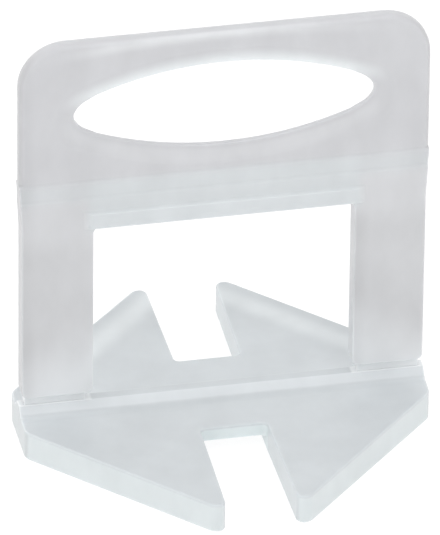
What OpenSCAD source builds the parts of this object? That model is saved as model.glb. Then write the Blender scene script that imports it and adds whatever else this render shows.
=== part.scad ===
// Tile levelling clip: a break-off strap on a four-winged base, moulded in one piece.
// X runs along the strap, Y across it, Z up. The origin is the middle of the base's underside.

/* [Base] */
// Length of the base along the strap
base_len = 39; // [30:0.1:50]
// Depth of the base from wing tip to wing tip
base_depth = 38.7; // [32:0.1:54]
// Thickness of the wings
base_thk = 2.9; // [2:0.1:4]
// Depth of the straight edge at each end of the base
end_depth = 7.3; // [5:0.1:10]
// Rounding of the corners at the two ends
end_corner_r = 1.7; // [0.5:0.1:2.5]
// Width of the blunt end of each wing tip
tip_w = 1.3; // [1:0.1:4]
// Rounding of a wing tip on its slanted side
tip_slant_r = 1.1; // [0.3:0.1:1.5]
// Rounding of a wing tip on its notch side
tip_notch_r = 0.4; // [0.2:0.1:0.5]

/* [Notches] */
// Width of each notch at its root
notch_w = 6.2; // [4:0.1:9]
// Growth in width from the root to the wing tips, on each side
notch_flare = 0.2; // [0:0.1:1]
// Rounding of the two corners at the root of each notch
notch_r = 0.6; // [0.2:0.1:1.5]
// Depth of the bridge between the two notch roots
bridge_depth = 12.2; // [8:0.1:16]
// Thickness of the bridge, which spans a channel in the underside
bridge_thk = 1.4; // [1:0.1:1.8]

/* [Sill] */
// Height of the sill above the wings
sill_h = 1; // [0.6:0.1:1.6]
// Width of the sill where it meets the wings
sill_foot_w = 3; // [2:0.1:5]
// Width of the sill's flat top
sill_top_w = 1; // [0.9:0.1:1.6]

/* [Legs] */
// Thickness of the legs, which is the width of the joint between two tiles
joint_w = 2; // [1.5:0.1:3]
// Inset of the legs' outer faces from the ends of the base
leg_inset = 0.2; // [0:0.05:1]
// Rounding of the corners at the foot of each leg
leg_r = 0.6; // [0.2:0.1:1.5]

/* [Window] */
// Width of the window that takes the wedge
window_w = 25; // [20:0.1:28]
// Height of the window's upper edge above the underside
window_top = 23; // [18:0.1:30]
// Rounding of the window's two upper corners
window_r = 0.5; // [0.2:0.1:1.5]

/* [Break line] */
// Height of the thin necks between the sill and the legs
neck_h = 1; // [0.6:0.1:1.6]
// Thickness of the necks
neck_thk = 0.8; // [0.5:0.1:0.9]
// Inset of the necks from the legs' inner edges
neck_in = 0.6; // [0.2:0.1:1.5]
// Inset of the necks from the legs' outer edges
neck_out = 0.3; // [0.1:0.1:1]

/* [Crossbar] */
// Height of the crossbar from the window's upper edge to the grip panel
crossbar_h = 4.9; // [4:0.1:7]
// Height of the collar between the crossbar's upper ledge and its lower ledge
collar_h = 1.7; // [1:0.1:2.5]
// Depth of each ledge, on each face
ledge_d = 0.1; // [0.05:0.05:0.2]
// Height of the thicker strip that the wedge bears on
strip_h = 1.6; // [0.8:0.1:2]
// Growth in thickness at the strip, on each face
strip_d = 0.2; // [0.05:0.05:0.4]
// Reach of the strip past the window on each side
strip_reach = 0.3; // [0.1:0.1:3]

/* [Grip panel] */
// Height of the grip panel
head_h = 15; // [13.5:0.1:24]
// Growth in width from the legs to the grip panel, on each side
head_flare = 0.25; // [0:0.05:1]
// Rounding of the grip panel's two upper corners
head_corner_r = 4.5; // [2:0.1:6]

/* [Grip hole] */
// Height of the oval's middle above the foot of the grip panel
grip_mid = 7; // [6.5:0.1:10]
// Height of the oval hole at its thin rim
grip_h = 8.8; // [7:0.1:10]
// Width of the grip panel on each side of the oval hole
grip_side = 5.1; // [3.5:0.1:8]
// Radius of the oval's narrow ends at the rim
grip_end_r = 1.8; // [1.2:0.1:3]
// Thickness of the rim
rim_thk = 0.6; // [0.4:0.1:1]
// Reach of the slope from the rim to the face of the grip panel
rim_reach = 1.75; // [0.6:0.05:2]

/* [Hidden] */
$fn = 96;
// Overlap of solids that join and of cutters past the faces they cut
lap = 0.2;
// Growth of a rounding's radius, so that its arc crosses the edges that it joins
bulge = 0.002;
plastic = [0.86, 0.87, 0.88];
sill_z = base_thk + sill_h;
leg_z = sill_z + neck_h;
ledge_z = window_top + crossbar_h;
top_z = ledge_z + head_h;
strap_w = base_len - 2 * leg_inset;
head_w = strap_w + 2 * head_flare;
collar_z = ledge_z - collar_h;
collar_thk = joint_w - 2 * ledge_d;
head_thk = collar_thk - 2 * ledge_d;
corner = [base_len / 2, end_depth / 2];
root = [notch_w / 2, bridge_depth / 2];
tip_in = [notch_w / 2 + notch_flare, base_depth / 2];
tip_out = [tip_in[0] + tip_w, base_depth / 2];
wing = [corner, tip_out, tip_in, root];

// A point of the first quarter, moved to the quarter given by the signs sx and sy
function quarter(p, sx, sy) = [sx * p[0], sy * p[1]];

// The direction from one point to another
function toward(from, to) = (to - from) / norm(to - from);

// The sliver between a sharp corner at c, with edges towards a and b, and its rounding
module corner_sliver(c, a, b, r) {
    ua = toward(c, a);
    ub = toward(c, b);
    bisector = toward([0, 0], ua + ub);
    half = acos(ua * ub) / 2;
    centre = c + bisector * r / sin(half);
    run = r / tan(half);
    difference() {
        polygon([c + ua * run, c - bisector * lap, c + ub * run, centre]);
        translate(centre) circle(r + bulge);
    }
}

// The base seen from above, with its four wings and two notches
module base_outline() {
    difference() {
        polygon([
            for (s = [[1, 1], [-1, 1], [-1, -1], [1, -1]])
                for (i = [0 : 3])
                    quarter(wing[s[0] * s[1] > 0 ? i : 3 - i], s[0], s[1])
        ]);
        for (x = [-1, 1], y = [-1, 1]) {
            end = quarter(corner, x, y);
            corner_sliver(end, quarter(corner, x, -y), quarter(tip_out, x, y), end_corner_r);
            corner_sliver(quarter(tip_out, x, y), end, quarter(tip_in, x, y), tip_slant_r);
            corner_sliver(quarter(tip_in, x, y), quarter(tip_out, x, y), quarter(root, x, y), tip_notch_r);
        }
    }
    for (x = [-1, 1], y = [-1, 1])
        corner_sliver(quarter(root, x, y), quarter(tip_in, x, y), quarter(root, -x, y), notch_r);
}

// The base: a thick plate with a shallow channel under the bridge between its notches
module base() {
    difference() {
        linear_extrude(base_thk) base_outline();
        translate([-notch_w / 2, -base_depth / 2, -lap])
            cube([notch_w, base_depth, base_thk - bridge_thk + lap]);
    }
}

// The low sill along the base, from which the legs break away
module sill() {
    rotate([90, 0, 90])
        linear_extrude(base_len, center = true)
            polygon([
                [-sill_foot_w / 2, base_thk - lap],
                [sill_foot_w / 2, base_thk - lap],
                [sill_foot_w / 2, base_thk],
                [sill_top_w / 2, sill_z],
                [-sill_top_w / 2, sill_z],
                [-sill_foot_w / 2, base_thk]
            ]);
}

// A flat piece of the strap: an outline in X and Z, given a thickness about the strap's middle
module strap_sheet(thickness) {
    rotate([90, 0, 0]) linear_extrude(thickness, center = true) children();
}

// The thin necks that snap when the strap is knocked off
module necks() {
    inner_x = window_w / 2 + neck_in;
    outer_x = strap_w / 2 - neck_out;
    strap_sheet(neck_thk)
        for (s = [-1, 1])
            translate([s * (inner_x + outer_x) / 2, (sill_z + leg_z) / 2])
                square([outer_x - inner_x, neck_h + 2 * lap], center = true);
}

// The window, open at its lower end
module window_outline() {
    top = [window_w / 2, window_top];
    low = [window_w / 2, leg_z - lap];
    difference() {
        polygon([low, top, quarter(top, -1, 1), quarter(low, -1, 1)]);
        for (s = [-1, 1])
            corner_sliver(quarter(top, s, 1), quarter(low, s, 1), quarter(top, -s, 1), window_r);
    }
}

// The strap's outline, from the foot of the legs to the top of the grip panel
module strap_outline() {
    outer = [strap_w / 2, leg_z];
    inner = [window_w / 2, leg_z];
    shoulder = [strap_w / 2, window_top];
    side = [head_w / 2, ledge_z];
    top = [head_w / 2, top_z];
    right = [outer, shoulder, side, top];
    difference() {
        polygon([each right, for (i = [3 : -1 : 0]) quarter(right[i], -1, 1)]);
        window_outline();
        for (s = [-1, 1]) {
            corner_sliver(quarter(outer, s, 1), quarter(inner, s, 1), quarter(shoulder, s, 1), leg_r);
            corner_sliver(quarter(inner, s, 1), quarter(outer, s, 1), [s * inner[0], window_top], leg_r);
            corner_sliver(quarter(top, s, 1), quarter(side, s, 1), quarter(top, -s, 1), head_corner_r);
        }
    }
}

// The part of the strap between two heights
module strap_band(low, high, thickness) {
    strap_sheet(thickness)
        intersection() {
            strap_outline();
            translate([-head_w, low]) square([2 * head_w, high - low]);
        }
}

// The thicker strip along the window's upper edge, which the wedge bears on
module bearing_strip() {
    strip_w = window_w + 2 * strip_reach;
    strap_sheet(joint_w + 2 * strip_d)
        translate([-strip_w / 2, window_top])
            square([strip_w, strip_h]);
}

// The cutter for one arc of the grip hole: narrow at the rim and wider at both faces
module arc_cutter(r) {
    rim = rim_thk / 2;
    face = head_thk / 2 + lap;
    wide = r + rim_reach * (face - rim) / (head_thk / 2 - rim);
    rotate_extrude($fn = 360)
        polygon([[0, -face], [wide, -face], [r, -rim], [r, rim], [wide, face], [0, face]]);
}

// The oval grip hole: two flat arcs and two narrow end arcs that run into each other
module grip_hole() {
    b = grip_h / 2;
    end_x = head_w / 2 - grip_side - grip_end_r;
    flat_r = (end_x ^ 2 + b ^ 2 - grip_end_r ^ 2) / (2 * (b - grip_end_r));
    join = [end_x, 0] + toward([0, b - flat_r], [end_x, 0]) * grip_h * 2;
    for (s = [-1, 1])
        translate([s * end_x, 0, 0]) arc_cutter(grip_end_r + bulge);
    intersection() {
        translate([0, b - flat_r, 0]) arc_cutter(flat_r);
        translate([0, flat_r - b, 0]) arc_cutter(flat_r);
        linear_extrude(2 * head_thk, center = true)
            polygon([[end_x, 0], join, quarter(join, -1, 1), [-end_x, 0], -join, quarter(join, 1, -1)]);
    }
}

// The grip panel with its oval hole
module head() {
    difference() {
        strap_band(ledge_z - lap, top_z, head_thk);
        translate([0, 0, ledge_z + grip_mid]) rotate([90, 0, 0]) grip_hole();
    }
}

// The whole clip, moulded in one piece
module levelling_clip() {
    color(plastic) union() {
        base();
        sill();
        necks();
        strap_band(leg_z, collar_z, joint_w);
        bearing_strip();
        strap_band(collar_z - lap, ledge_z, collar_thk);
        head();
    }
}

levelling_clip();
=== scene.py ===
import functools
import math

import bmesh
import bpy
from mathutils import Matrix, Vector


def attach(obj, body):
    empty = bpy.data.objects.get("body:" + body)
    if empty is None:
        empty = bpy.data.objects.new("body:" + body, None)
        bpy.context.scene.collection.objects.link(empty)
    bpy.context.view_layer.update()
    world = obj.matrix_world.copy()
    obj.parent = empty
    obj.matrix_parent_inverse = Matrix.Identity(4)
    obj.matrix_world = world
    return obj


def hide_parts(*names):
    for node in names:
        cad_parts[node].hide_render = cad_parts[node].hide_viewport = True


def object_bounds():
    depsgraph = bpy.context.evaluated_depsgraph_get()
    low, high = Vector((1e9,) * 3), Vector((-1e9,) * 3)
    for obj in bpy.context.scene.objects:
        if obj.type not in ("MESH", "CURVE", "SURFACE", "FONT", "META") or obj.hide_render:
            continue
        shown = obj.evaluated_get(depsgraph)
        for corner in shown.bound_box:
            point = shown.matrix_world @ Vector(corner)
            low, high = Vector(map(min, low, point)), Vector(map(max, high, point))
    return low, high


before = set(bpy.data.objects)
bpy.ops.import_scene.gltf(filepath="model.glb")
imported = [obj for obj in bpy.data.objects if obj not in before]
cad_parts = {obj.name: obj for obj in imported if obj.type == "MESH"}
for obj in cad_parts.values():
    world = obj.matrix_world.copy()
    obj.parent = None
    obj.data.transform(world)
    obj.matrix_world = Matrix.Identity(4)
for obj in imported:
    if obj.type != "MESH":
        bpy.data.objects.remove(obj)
CAD_BOX = [list(p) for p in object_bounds()]

# Lengths are in millimetres and angles in degrees, unless a comment says otherwise
MM = 0.001

# Heights in the clip's solid
CHANNEL_TOP = 1.5
BASE_TOP = 2.9
SILL_TOP = 3.9
LEG_FOOT = 4.9
WINDOW_TOP = 23.0
STRIP_TOP = 24.6
COLLAR = 26.2
LEDGE = 27.9
OVAL_MID = 34.9
TOP = CAD_BOX[1][2] / MM

# Distances from its middle along X: window, strip, middle of a leg, end of the base
WINDOW_X = 12.5
STRIP_X = 12.8
LEG_X = 15.9
END_X = 19.5

# Distances from its middle along Y: faces of the strap, foot of the sill, corner of the base's end
RIM_Y = 0.3
HEAD_Y = 0.8
COLLAR_Y = 0.9
LEG_Y = 1.0
STRIP_Y = 1.2
SILL_Y = 1.5
END_Y = 3.65

# Rounding of the window's corners, width of the slope in the grip hole, sharp corner of a wing tip
WINDOW_R = 0.5
RIM_REACH = 1.75
WING_TIP = (3.3, CAD_BOX[1][1] / MM)

# Half axes of two ellipses: the grip hole's edge on the faces, and a line around the whole hole
OVAL_X, OVAL_Z = 16.2, 6.15
HOLE_X, HOLE_Z = 16.5, 6.4

# Height of the slope in place of a square ledge, and length of the slope at each end of the strip
LEDGE_RUN = 0.3
STRIP_RUN = 0.7

# The grip hole's narrow ends: their start, length, shift to the middle, and share of height lost
POINT_X = 12.6
POINT_RUN = 1.8
POINT_SHIFT = 0.18
POINT_PINCH = 0.24

# Reach of a wing tip's rounding, growth of the notches, and where that growth has run out
TIP_REACH = 0.42
NOTCH_GROWTH = 0.1
NOTCH_SIDE = 4.4

# Rounded edges: width and number of facets, and the profile that makes them circular
UNDERSIDE_EDGE = (0.15, 3)
BASE_EDGE = (0.18, 3)
SILL_CREST = (0.09, 2)
SILL_CREASE = (0.5, 4)
SILL_END = (0.12, 3)
HEAD_EDGE = (0.6, 5)
STRAP_EDGE = (0.1, 3)
STRIP_EDGE = (0.12, 3)
STRIP_SLOPE = (0.12, 2)
LEDGE_EDGE = (0.1, 2)
HOLE_EDGE = (0.3, 3)
RIM_EDGE = (0.14, 2)
CIRCULAR = 0.5

# Ranges of the turn between the two faces at an edge
RIGHT_TURN = (60, 120)
SLIGHT_TURN = (10, 50)
SLOPE_TURN = (8, 50)
RIM_TURN = (50, 80)

# Shading: the turn from which an edge looks sharp, and how much large faces outweigh small ones
SHARP_TURN = 35
LARGE_FACES_FIRST = 100

# Window corners: the direction of their diagonal, and the turn about it within which facets are kept
DIAGONAL = 45
KEPT_TURN = 6

# Corners closer than WELD become one, and so do faces that turn by less than FLAT_TURN
WELD = 0.002
FLAT_TURN = 0.5

# To select corners and edges: tolerances, a step past an edge, and the height where the panel starts
NEAR = 0.02
LEVEL = 0.01
INSIDE = 0.001
CLEAR = 0.1
PANEL_FROM = LEDGE + 0.5


def middle(edge):
    """The middle of an edge, in millimetres."""
    return (edge.verts[0].co + edge.verts[1].co) / 2 / MM


def is_level(edge):
    """Whether both ends of an edge have the same height."""
    return abs(edge.verts[0].co.z - edge.verts[1].co.z) < LEVEL * MM


def near(value, target):
    """Whether a coordinate has the target's distance from the middle, on either side."""
    return abs(abs(value) - target) < NEAR


# Tests that select corners by their places, and edges by the places of their middles


def along(height, depth):
    """A test for spots at the given height and depth."""
    return lambda spot: near(spot.z, height) and near(spot.y, depth)


def on_panel(depth):
    """A test for spots of the grip panel at the given depth."""
    return lambda spot: spot.z > PANEL_FROM and near(spot.y, depth)


def on_underside(spot):
    return spot.z < CHANNEL_TOP + CLEAR


def on_notch_side(spot):
    return spot.z < BASE_TOP + CLEAR and abs(spot.x) < NOTCH_SIDE


def on_wing_tip(spot):
    return from_tip(spot).length < TIP_REACH


def beside_sill(spot):
    return near(spot.z, BASE_TOP) and abs(spot.y) > SILL_Y + CLEAR


def on_sill_crest(spot):
    return near(spot.z, SILL_TOP)


def on_sill_end(spot):
    return BASE_TOP + CLEAR < spot.z < SILL_TOP + CLEAR and abs(spot.x) > END_X - CLEAR


def on_strap(spot):
    return LEG_FOOT - CLEAR < spot.z < LEDGE + CLEAR and HEAD_Y < abs(spot.y) < LEG_Y + CLEAR / 2


def on_strip(spot):
    return spot.z > LEG_FOOT and near(spot.y, STRIP_Y)


def on_strip_end(spot):
    return near(spot.x, STRIP_X) and near(spot.y, LEG_Y) and spot.z > WINDOW_TOP - CLEAR


def around_strip(spot):
    return near(spot.y, LEG_Y) and WINDOW_TOP + CLEAR / 2 < spot.z < STRIP_TOP + LEDGE_RUN + CLEAR


def in_hole(spot):
    return (spot.x / HOLE_X) ** 2 + ((spot.z - OVAL_MID) / HOLE_Z) ** 2 < 1


def on_hole_end(spot):
    return spot.z > PANEL_FROM and near(spot.y, RIM_Y) and abs(spot.x) > POINT_X


# Shifts of corners, from their places


def from_tip(spot):
    """The way to a spot from the sharp corner of the nearest wing tip."""
    tip_x, tip_y = WING_TIP
    return Vector((spot.x - math.copysign(tip_x, spot.x), spot.y - math.copysign(tip_y, spot.y), 0))


def widen(spot):
    """The growth of a notch, which runs out over the last millimetre."""
    return Vector((math.copysign(NOTCH_GROWTH * min(1, NOTCH_SIDE - abs(spot.x)), spot.x), 0, 0))


def slope_ledge(spot):
    """The rise that turns a square ledge into a slope, the same at every spot."""
    return Vector((0, 0, LEDGE_RUN))


def slope_strip_end(spot):
    """The shift that turns a square end of the strip into a slope."""
    return Vector((math.copysign(STRIP_RUN, spot.x), 0, 0))


def draw_in(spot):
    """The shift that makes a narrow end of the grip hole a blunt point."""
    share = min(1, (abs(spot.x) - POINT_X) / POINT_RUN)
    inward = -math.copysign(POINT_SHIFT * share, spot.x)
    return Vector((inward, 0, (OVAL_MID - spot.z) * POINT_PINCH * share))


def slide(bm, test, shift):
    """Move each corner whose spot passes the test by the shift for that spot."""
    for corner in bm.verts:
        spot = corner.co / MM
        if test(spot):
            corner.co += shift(spot) * MM


def soften(bm, rounding, turn, test, convex=True, level=False):
    """Round the edges whose middles pass the test and whose faces turn by an angle in the range."""
    width, facets = rounding
    least, most = turn
    edges = [
        edge
        for edge in bm.edges
        if len(edge.link_faces) == 2
        and edge.is_convex == convex
        and least <= math.degrees(edge.calc_face_angle()) <= most
        and (is_level(edge) or not level)
        and test(middle(edge))
    ]
    bmesh.ops.bevel(
        bm,
        geom=edges,
        offset=width * MM,
        offset_type="OFFSET",
        segments=facets,
        profile=CIRCULAR,
        affect="EDGES",
        clamp_overlap=True,
    )


def even_hole(bm):
    """Lay the grip hole's slope and rim anew, as even strips of faces between its two edges."""
    old = [face for face in bm.faces if all(in_hole(corner.co / MM) for corner in face.verts)]
    bmesh.ops.delete(bm, geom=old, context="FACES")
    edges = [edge for edge in bm.edges if edge.is_boundary]
    across = bmesh.ops.bridge_loops(bm, edges=edges)["edges"]
    # the two cuts become the edges of the thin rim
    cut = bmesh.ops.subdivide_edges(bm, edges=across, cuts=2)["geom_inner"]
    bm.normal_update()
    for corner in (part for part in cut if isinstance(part, bmesh.types.BMVert)):
        corner.co += corner.normal * RIM_REACH * MM
        corner.co.y = math.copysign(RIM_Y * MM, corner.co.y)


def shape_forms(bm):
    """Slope the ledges and the strip, blunt the grip hole's ends, and shape the wing tips."""
    for height, depth in ((LEDGE, HEAD_Y), (COLLAR, COLLAR_Y), (STRIP_TOP, LEG_Y)):
        slide(bm, along(height, depth), slope_ledge)
    slide(bm, on_strip_end, slope_strip_end)
    even_hole(bm)
    slide(bm, on_hole_end, draw_in)
    # a corner twice as far from the sharp tip gives the tip twice the rounding
    slide(bm, on_wing_tip, from_tip)
    slide(bm, on_notch_side, widen)


def plain_corners(bm):
    """Merge most facets of the window's upper corners, which are too narrow to have rounded edges."""
    extra = []
    reach = WINDOW_R - INSIDE
    for edge in bm.edges:
        spot = middle(edge)
        out = abs(spot.x) - WINDOW_X + WINDOW_R
        rise = spot.z - WINDOW_TOP + WINDOW_R
        crosses_strap = edge.calc_length() > LEG_Y * MM
        if crosses_strap and 0 < out < reach and 0 < rise < reach:
            if abs(math.degrees(math.atan2(rise, out)) - DIAGONAL) > KEPT_TURN:
                extra.append(edge)
    bmesh.ops.dissolve_edges(bm, edges=extra, use_verts=True)


def round_edges(bm):
    """Round the moulded edges, group by group."""
    # the base: its underside with the channel, and its upper edges beside the sill
    soften(bm, UNDERSIDE_EDGE, RIGHT_TURN, on_underside)
    soften(bm, BASE_EDGE, RIGHT_TURN, beside_sill, level=True)
    # the sill: its crest, the crease along its foot, and its ends
    soften(bm, SILL_CREST, SLIGHT_TURN, on_sill_crest)
    soften(bm, SILL_CREASE, SLIGHT_TURN, along(BASE_TOP, SILL_Y), convex=False)
    soften(bm, SILL_END, RIGHT_TURN, on_sill_end)
    # the strap: the grip panel's outline, then that of the legs, the crossbar and the window
    soften(bm, HEAD_EDGE, RIGHT_TURN, on_panel(HEAD_Y))
    plain_corners(bm)
    soften(bm, STRAP_EDGE, RIGHT_TURN, on_strap)
    # the strip above the window: its lower edge, its slopes, and the crease around them
    soften(bm, STRIP_EDGE, RIGHT_TURN, on_strip)
    soften(bm, STRIP_SLOPE, SLIGHT_TURN, on_strip)
    soften(bm, STRIP_SLOPE, SLIGHT_TURN, around_strip, convex=False)
    # the two ledges: the lower and the upper edge of their slopes
    for height, thick, thin in ((LEDGE, COLLAR_Y, HEAD_Y), (COLLAR, LEG_Y, COLLAR_Y)):
        soften(bm, LEDGE_EDGE, SLIGHT_TURN, along(height, thick))
        soften(bm, LEDGE_EDGE, SLIGHT_TURN, along(height + LEDGE_RUN, thin), convex=False)
    # the grip hole: where its slope meets the faces, and its thin rim
    soften(bm, HOLE_EDGE, SLOPE_TURN, on_panel(HEAD_Y))
    soften(bm, RIM_EDGE, RIM_TURN, on_panel(RIM_Y))
    for edge in bm.edges:
        edge.smooth = math.degrees(edge.calc_face_angle(0)) < SHARP_TURN


def add_object(name, data):
    """A new object in the scene."""
    ob = bpy.data.objects.new(name, data)
    bpy.context.scene.collection.objects.link(ob)
    return ob


def rounded_clip(node):
    """The clip's own shape with its small forms and rounded edges, as one new piece."""
    bm = bmesh.new()
    bm.from_mesh(node.data)
    bm.transform(node.matrix_world)
    bmesh.ops.remove_doubles(bm, verts=bm.verts, dist=WELD * MM)
    flat = math.radians(FLAT_TURN)
    bmesh.ops.dissolve_limit(bm, angle_limit=flat, verts=bm.verts, edges=bm.edges)
    shape_forms(bm)
    round_edges(bm)

    mesh = bpy.data.meshes.new("clip")
    bm.to_mesh(mesh)
    bm.free()
    for face in mesh.polygons:
        face.use_smooth = True
    piece = add_object("clip", mesh)
    shading = piece.modifiers.new("even_shading", "WEIGHTED_NORMAL")
    shading.keep_sharp = True
    shading.weight = LARGE_FACES_FIRST
    return piece


class Nodes:
    """Short calls that add shader nodes to one tree and return their output sockets."""

    # Sockets of a node that mixes colours; their names are shared with sockets for other types
    FACTOR, UNDER, OVER, RESULT = 0, 6, 7, 2

    def __init__(self, tree):
        self.tree = tree

    def add(self, kind, inputs=None, **settings):
        """A new node, whose inputs are given as sockets or as plain values."""
        node = self.tree.nodes.new(kind)
        for name, value in settings.items():
            setattr(node, name, value)
        for key, value in (inputs or {}).items():
            self.feed(node.inputs[key], value)
        return node

    def feed(self, socket, value):
        """Link another socket to an input, or set the input's value."""
        if isinstance(value, bpy.types.NodeSocket):
            self.tree.links.new(value, socket)
        else:
            socket.default_value = value

    def calc(self, operation, a, b=0.0):
        return self.add("ShaderNodeMath", {0: a, 1: b}, operation=operation).outputs[0]

    def plus(self, a, b):
        return self.calc("ADD", a, b)

    def minus(self, a, b):
        return self.calc("SUBTRACT", a, b)

    def times(self, a, b):
        return self.calc("MULTIPLY", a, b)

    def square(self, value):
        return self.calc("POWER", value, 2.0)

    def size(self, value):
        return self.calc("ABSOLUTE", value)

    def split(self, vector):
        return self.add("ShaderNodeSeparateXYZ", {0: vector}).outputs

    def spread(self, value, source, target, kind="LINEAR"):
        """Map one range of values to another."""
        ends = {"From Min": source[0], "From Max": source[1], "To Min": target[0], "To Max": target[1]}
        node = self.add("ShaderNodeMapRange", {"Value": value, **ends}, interpolation_type=kind)
        return node.outputs[0]

    def ramp(self, value, none, full):
        """A smooth rise from 0 at one limit to 1 at the other, of which either may be the larger."""
        ends = (0.0, 1.0) if none < full else (1.0, 0.0)
        return self.spread(value, sorted((none, full)), ends, "SMOOTHSTEP")

    def mask(self, measured, spans):
        """The product of the ramps over the spans."""
        ramps = [self.ramp(measured[name], none, full) for name, none, full in spans]
        return functools.reduce(self.times, ramps)

    def noise(self, place, scale, detail, stretch=(1, 1, 1)):
        """Noise with a grain of about 1 / scale millimetres, stretched along the axes."""
        moved = self.add("ShaderNodeMapping", {"Vector": place, "Scale": stretch}).outputs[0]
        inputs = {"Vector": moved, "Scale": scale, "Detail": detail}
        return self.add("ShaderNodeTexNoise", inputs).outputs[0]

    def blend(self, under, over, mask, label, kind="MIX"):
        inputs = {self.FACTOR: mask, self.UNDER: under, self.OVER: over}
        mix = self.add("ShaderNodeMix", inputs, data_type="RGBA", blend_type=kind, label=label)
        return mix.outputs[self.RESULT]


# The direction across the base's slanted edges, along X and along Y
SLANT = (0.725, 0.689)
# The slope of the painted light on the legs' feet, outwards on each leg and from the left leg to the
# right one
FOOT_TILT = 0.55
FOOT_LEAN = 0.02
# The painted highlight arch in the grip panel: its distance below the top, and its bend per square
# millimetre
ARCH_DROP = 0.25
ARCH_BEND = 0.0043


def measures(nodes, place, normal):
    """What the spans of the tones refer to, each as a socket."""
    x, y, z = nodes.split(place)
    facing_x, _, facing_z = nodes.split(normal)
    out = nodes.size(x)
    from_end = nodes.times(nodes.minus(END_X, out), SLANT[0])
    from_corner = nodes.times(nodes.minus(END_Y, y), SLANT[1])
    tilted = nodes.plus(z, nodes.times(nodes.minus(out, LEG_X), FOOT_TILT))
    along_hole = nodes.calc("DIVIDE", x, OVAL_X)
    up_hole = nodes.calc("DIVIDE", nodes.minus(z, OVAL_MID), OVAL_Z)
    bent = nodes.plus(z, nodes.times(nodes.square(x), ARCH_BEND))
    return {
        # places, and their distances from the middle along X and along Y
        "x": x,
        "y": y,
        "z": z,
        "out": out,
        "across": nodes.size(y),
        # directions of the faces: upwards, up or down, along X
        "up": facing_z,
        "level": nodes.size(facing_z),
        "sideways": nodes.size(facing_x),
        # distance from the back wings' slanted edges, tilted height of the painted light on the legs'
        # feet
        "inward": nodes.plus(from_end, from_corner),
        "foot": nodes.plus(tilted, nodes.times(x, FOOT_LEAN)),
        # the ellipse of the grip hole, on which this is 1, and the distance from the painted highlight
        # arch
        "oval": nodes.plus(nodes.square(along_hole), nodes.square(up_hole)),
        "highlight_arch": nodes.size(nodes.minus(TOP - ARCH_DROP, bent)),
    }


# A span is a measure and two limits: a tone is absent at the first limit and full at the second.
# These are spans that several tones share.
STRAP = (("z", SILL_TOP - 0.1, LEG_FOOT),)
WALL = (("z", BASE_TOP - 0.15, BASE_TOP - 0.35), ("level", 0.8, 0.4))
BELOW_NECK = ("z", SILL_TOP + 0.3, SILL_TOP + 0.1)
CROSSBAR = (
    ("z", WINDOW_TOP - 1, WINDOW_TOP + 0.4),
    ("z", LEDGE + 0.6, LEDGE - 0.6),
    ("out", WINDOW_X + 1.1, WINDOW_X - 0.3),
)
GRIP_HOLE = ("oval", 1.1, 0.98)
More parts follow.
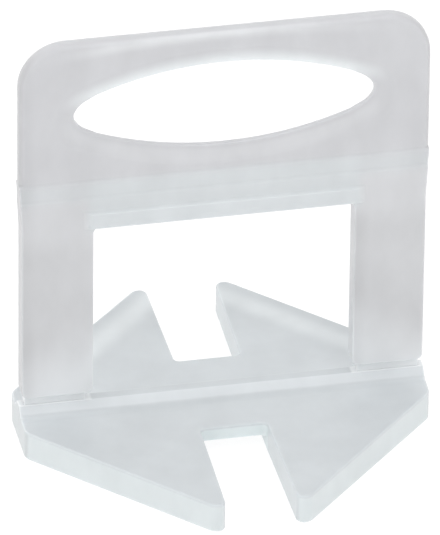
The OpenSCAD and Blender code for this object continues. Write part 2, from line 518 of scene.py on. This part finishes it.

# Painted light and shade over the base's tone, in the order in which they are laid, each with its
# spans: tones for light through the moulding, painted highlights and painted shade
BASE_TONE = (0.596, 0.626, 0.644)
PAINTED_LIGHT_AND_SHADE = (
    # painted shade: the thin strap darker than the base
    ("leg", (0.584, 0.589, 0.602), STRAP),
    # painted light: the grip panel a little lighter than the legs
    ("grip panel", (0.591, 0.595, 0.613), (("z", COLLAR, LEDGE),)),
    # painted light: lifts the base top where the legs shade it
    (
        "painted light beside the legs",
        (0.700, 0.730, 0.750),
        (("z", BASE_TOP + 0.4, BASE_TOP + 0.1), ("out", 8, 14), ("across", 7, SILL_Y), ("y", -9, 3)),
    ),
    (
        # painted glow: a lighter band inside the back wings' slanted edges, for light through the
        # plastic
        "painted glow along the back wings",
        (0.696, 0.727, 0.741),
        (
            ("inward", 0.4, 2.1),
            ("inward", 4.3, 2.5),
            ("y", 1, 3),
            ("up", 0.5, 0.9),
            ("z", BASE_TOP + 0.3, BASE_TOP + 0.1),
        ),
    ),
    # painted light: the base's walls lighter than its top
    ("painted light on the walls", (0.662, 0.702, 0.712), WALL),
    # painted shade: the notches' side walls darker than the other walls
    ("notch", (0.620, 0.655, 0.670), (*WALL, ("out", 4.6, 3.8), ("sideways", 0.7, 0.9))),
    # painted light: the walls at the notches' roots lighter, where they lie in shade
    ("painted light in the notch roots", (0.725, 0.780, 0.790), (*WALL, ("out", 4, 3.3), ("across", 6.9, 6.4))),
    # painted highlight along the sill's slopes
    (
        "sill",
        (0.645, 0.673, 0.692),
        (
            ("z", BASE_TOP + 0.1, BASE_TOP + 0.4),
            BELOW_NECK,
            ("across", SILL_Y + 0.1, SILL_Y - 0.2),
            ("up", 0.95, 0.85),
        ),
    ),
    # painted shade on the sill's crest
    (
        "painted shade on the sill crest",
        (0.572, 0.602, 0.620),
        (("z", SILL_TOP - 0.2, SILL_TOP - 0.1), BELOW_NECK, ("up", 0.85, 0.95)),
    ),
    # painted shade on the base's end walls
    (
        "end of the base",
        (0.560, 0.590, 0.600),
        (
            ("z", SILL_TOP + 0.4, SILL_TOP + 0.2),
            ("sideways", 0.8, 0.95),
            ("out", END_X - 1.5, END_X - 0.5),
        ),
    ),
    # painted light: the legs lighter towards the crossbar
    (
        "shoulder",
        (0.616, 0.622, 0.637),
        (("z", WINDOW_TOP - 3.5, WINDOW_TOP), ("z", LEDGE + 0.5, COLLAR)),
    ),
    # painted light: a lighter band over the collar
    (
        "collar",
        (0.605, 0.622, 0.638),
        (("z", COLLAR - 0.9, COLLAR + 0.5), ("z", LEDGE + 0.8, LEDGE - 0.6)),
    ),
    # painted light: the crossbar lighter than the legs and the grip panel
    ("crossbar", (0.620, 0.645, 0.659), CROSSBAR),
    # painted light: the strip above the window lighter still
    ("strip", (0.645, 0.673, 0.688), (*CROSSBAR, ("z", STRIP_TOP + 0.6, STRIP_TOP + 0.2))),
    # painted light: the legs lighter towards their feet
    ("foot", (0.720, 0.736, 0.750), (*STRAP, ("foot", 12.8, 3.8))),
    # painted light on the slope below the grip hole
    (
        "painted light on the slope below the hole",
        (0.620, 0.625, 0.641),
        (("oval", 1.05, 0.8), ("z", OVAL_MID + 1, OVAL_MID - 2)),
    ),
    # painted glow: the thin slope above the grip hole lit through the plastic
    (
        "painted glow on the slope above the hole",
        (0.800, 0.830, 0.840),
        (GRIP_HOLE, ("across", 0.82, 0.25), ("z", OVAL_MID + 0.5, OVAL_MID + 3)),
    ),
    # painted shade: a darker line along the rim below the grip hole
    (
        "painted shade on the rim below the hole",
        (0.570, 0.573, 0.591),
        (GRIP_HOLE, ("across", 0.5, RIM_Y), ("z", OVAL_MID + 0.5, OVAL_MID - 1)),
    ),
    # painted highlight: a pale arch below the grip panel's top edge
    (
        "highlight_arch",
        (0.682, 0.692, 0.706),
        (("highlight_arch", 0.85, 0), ("x", 20, -4), ("x", -18, -9), ("up", 1, 0.8)),
    ),
    # painted shade on the strap's side faces
    (
        "painted shade on the strap's sides",
        (0.548, 0.550, 0.563),
        (
            ("z", LEG_FOOT, LEG_FOOT + 0.3),
            ("sideways", 0.3, 0.8),
            ("out", 15, 16),
            ("oval", 1.1, 1.3),
        ),
    ),
    # painted light in the recessed necks between the legs and the sill
    (
        "painted light in the necks",
        (0.780, 0.800, 0.812),
        (
            ("z", SILL_TOP - 0.1, SILL_TOP - 0.02),
            ("z", LEG_FOOT + 0.05, LEG_FOOT + 0.01),
            ("out", WINDOW_X - 0.1, WINDOW_X + 0.2),
        ),
    ),
)

# Painted shade on two edges: the strap's left one and the right leg's inner one, and how much darker
# the painted shade makes them
OUTER_PAINTED_SHADE = (*STRAP, ("x", -17.6, -19.2))
INNER_PAINTED_SHADE = (
    *STRAP,
    ("x", WINDOW_X - 0.5, WINDOW_X - 0.1),
    ("x", WINDOW_X + 1.7, WINDOW_X + 0.2),
    ("z", WINDOW_TOP - 0.2, WINDOW_TOP - 2),
)
PAINTED_EDGE_SHADE = 0.07

# Noise in the plastic: scale per millimetre, detail, and the stretch of the flow in the moulding
FLOW = (0.35, 4.0, (1, 1, 0.6))
POLISH = (0.8, 3.0)
GRAIN = (2.2, 3.0)
# The part of the flow's range that is used, and the brightness, roughness and bumps from the noise
FLOW_RANGE = (0.3, 0.7)
MOTTLE = (0.965, 1.03)
ROUGHNESS = (0.3, 0.36)
BUMP_STRENGTH = 0.06
BUMP_HEIGHT = 0.05
# How far light spreads below the surface, the same for all colours, and the plastic's refraction
SCATTER = 0.3
SCATTER_BY_COLOUR = (1, 1, 1)
REFRACTION = 1.49


def new_material(name):
    """A material with nodes, and the inputs of its surface."""
    mat = bpy.data.materials.new(name)
    mat.use_nodes = True
    return mat, mat.node_tree.nodes["Principled BSDF"].inputs


def plastic():
    """Milky translucent plastic, whose tones are painted light and shade: the light that comes through
    the moulding, painted highlights, and painted shade on edges and sides.
    """
    mat, surface = new_material("milky_plastic")
    nodes = Nodes(mat.node_tree)
    coords = nodes.add("ShaderNodeTexCoord").outputs
    in_mm = {0: coords["Object"], "Scale": 1 / MM}
    place = nodes.add("ShaderNodeVectorMath", in_mm, operation="SCALE").outputs[0]
    measured = measures(nodes, place, coords["Normal"])

    colour = (*BASE_TONE, 1)
    for name, tone, spans in PAINTED_LIGHT_AND_SHADE:
        colour = nodes.blend(colour, (*tone, 1), nodes.mask(measured, spans), name)
    # painted shade along two edges of the strap, times the plastic's random mottle
    edges = nodes.plus(nodes.mask(measured, OUTER_PAINTED_SHADE), nodes.mask(measured, INNER_PAINTED_SHADE))
    shade = nodes.minus(1.0, nodes.times(edges, PAINTED_EDGE_SHADE))
    mottle = nodes.spread(nodes.noise(place, *FLOW), FLOW_RANGE, MOTTLE)
    mottle_and_painted_shade = nodes.times(mottle, shade)
    nodes.feed(surface["Base Color"], nodes.blend(colour, mottle_and_painted_shade, 1.0, "mottle_and_painted_shade", "MULTIPLY"))

    polish = nodes.noise(place, *POLISH)
    nodes.feed(surface["Roughness"], nodes.spread(polish, (0, 1), ROUGHNESS))
    grain = nodes.noise(place, *GRAIN)
    bumps = {"Height": grain, "Strength": BUMP_STRENGTH, "Distance": BUMP_HEIGHT * MM}
    nodes.feed(surface["Normal"], nodes.add("ShaderNodeBump", bumps).outputs[0])
    surface["Subsurface Weight"].default_value = 1.0
    surface["Subsurface Scale"].default_value = SCATTER * MM
    surface["Subsurface Radius"].default_value = SCATTER_BY_COLOUR
    surface["IOR"].default_value = REFRACTION
    return mat


# The studio, with lengths in metres and the light's power in watts
FLOOR_HALF = 3
FLOOR_GREY = 0.2
FLOOR_ROUGHNESS = 0.9
FLOOR_GLOW = 0.85
WHITE = (1, 1, 1, 1)
LIGHT_PLACE = (0.2, -0.75, 1.15)
LIGHT_SIZE = 0.4
LIGHT_POWER = 2.2
# The sky grows weaker towards the right: two directions along X, and the strengths there
SKY_RANGE = (-0.2, 0.9)
SKY_STRENGTH = (1.16, 0.8)


def floor():
    """A large, pale, slightly glowing square."""
    mat, surface = new_material("pale_floor")
    surface["Base Color"].default_value = (FLOOR_GREY, FLOOR_GREY, FLOOR_GREY, 1)
    surface["Roughness"].default_value = FLOOR_ROUGHNESS
    surface["Emission Color"].default_value = WHITE
    surface["Emission Strength"].default_value = FLOOR_GLOW
    signs = ((-1, -1), (1, -1), (1, 1), (-1, 1))
    corners = [(x * FLOOR_HALF, y * FLOOR_HALF, 0) for x, y in signs]
    mesh = bpy.data.meshes.new("floor")
    mesh.from_pydata(corners, [], [range(len(corners))])
    mesh.materials.append(mat)
    return add_object("floor", mesh)


def stage():
    """A plain pale floor under a soft white sky, with one soft light in front."""
    floor()

    world = bpy.data.worlds.new("studio")
    bpy.context.scene.world = world
    world.use_nodes = True
    nodes = Nodes(world.node_tree)
    sky = world.node_tree.nodes["Background"].inputs
    sky["Color"].default_value = WHITE
    direction = nodes.split(nodes.add("ShaderNodeTexCoord").outputs["Generated"])
    nodes.feed(sky["Strength"], nodes.spread(direction["X"], SKY_RANGE, SKY_STRENGTH))

    light = bpy.data.lights.new("front_light", "AREA")
    light.shape = "DISK"
    light.size = LIGHT_SIZE
    light.energy = LIGHT_POWER
    lamp = add_object("front_light", light)
    lamp.location = LIGHT_PLACE
    lamp.rotation_euler = Vector(LIGHT_PLACE).to_track_quat("Z", "Y").to_euler()


# The camera that fits the photo: its angles, the point it looks at, and its distance from there
AZIMUTH = -11.98
ELEVATION = 31.73
ROLL = 0.68
TARGET = (-0.19, 0, 16.72)
DISTANCE = 1000
# Pixels per millimetre at that point, height of the photo in pixels, and size of the sensor
PHOTO_SCALE = 10.642
PHOTO_HEIGHT = 535
SENSOR = 36
# Nearest and farthest distance that the camera draws, in metres
DRAWN_FROM = 0.05
DRAWN_TO = 20


def camera():
    """A distant camera at the photo's angle."""
    azimuth, elevation, roll = map(math.radians, (AZIMUTH, ELEVATION, ROLL))
    right = Vector((math.cos(azimuth), math.sin(azimuth), 0))
    front = Vector((math.sin(azimuth), -math.cos(azimuth), 0))
    back = front * math.cos(elevation) + Vector((0, 0, math.sin(elevation)))
    up = back.cross(right)
    x_axis = right * math.cos(roll) + up * math.sin(roll)
    y_axis = up * math.cos(roll) - right * math.sin(roll)
    data = bpy.data.cameras.new("camera")
    data.sensor_width = SENSOR
    data.lens = PHOTO_SCALE * DISTANCE * SENSOR / PHOTO_HEIGHT
    data.clip_start = DRAWN_FROM
    data.clip_end = DRAWN_TO
    cam = add_object("camera", data)
    place = (Vector(TARGET) + back * DISTANCE) * MM
    turn = Matrix((x_axis, y_axis, back)).transposed().to_4x4()
    cam.matrix_world = Matrix.Translation(place) @ turn
    bpy.context.scene.camera = cam


clip = rounded_clip(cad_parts["levelling_clip"])
clip.data.materials.append(plastic())
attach(clip, "root")
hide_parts("levelling_clip")
stage()
camera()
bpy.context.scene.view_settings.view_transform = "Standard"
